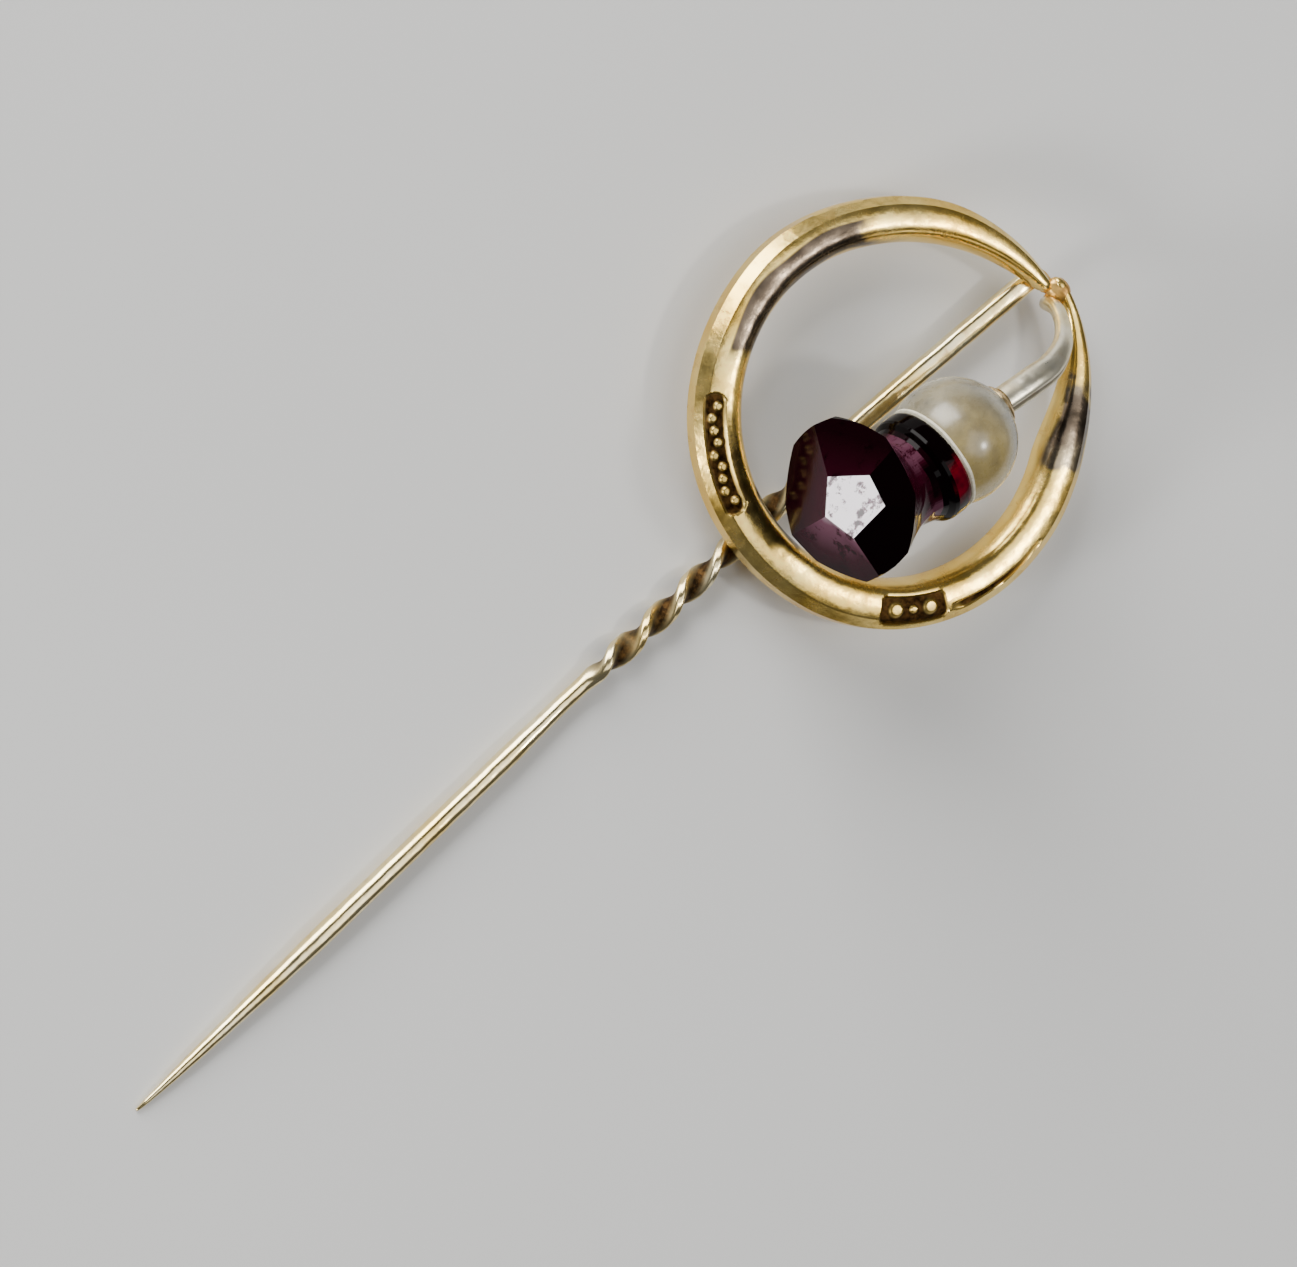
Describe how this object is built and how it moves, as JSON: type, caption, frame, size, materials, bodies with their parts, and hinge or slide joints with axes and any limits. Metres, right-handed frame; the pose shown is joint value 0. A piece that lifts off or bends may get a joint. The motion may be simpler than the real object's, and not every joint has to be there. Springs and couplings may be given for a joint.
{
  "type": "stick pin",
  "caption": "Gold-coloured stick pin: an open hoop around a thistle made of a pearl and a faceted stone, hung from a hook, on a long twisted stem with a sharp point.",
  "frame": {"origin": "middle of the bounding box in plan, on the surface that the pin lies on", "axes": "+Y along the stem from its point to the head, +Z out of the front of the hoop, +X to the right"},
  "size_m": [0.018, 0.0524, 0.0104],
  "materials": {
    "yellow_gold": "polished yellow gold, softened by wear",
    "pale_gold": "polished pale gold wire with drawing lines",
    "solder": "orange-gold solder",
    "pearl": "satin cream-grey pearl",
    "cement": "dry cream cement",
    "amethyst": "polished, very dark wine-purple stone"
  },
  "bodies": {
    "root": {"hoop": "yellow_gold", "pin_stem": "pale_gold", "hook_wire": "pale_gold", "joint_solder": "solder", "back_solder": "solder", "pearl_cap": "pale_gold", "peg": "pale_gold", "pearl": "pearl", "pearl_cement": "cement", "bedding_rim": "cement", "thistle_stone": "amethyst", "stone_cement": "cement"}
  },
  "joints": []
}
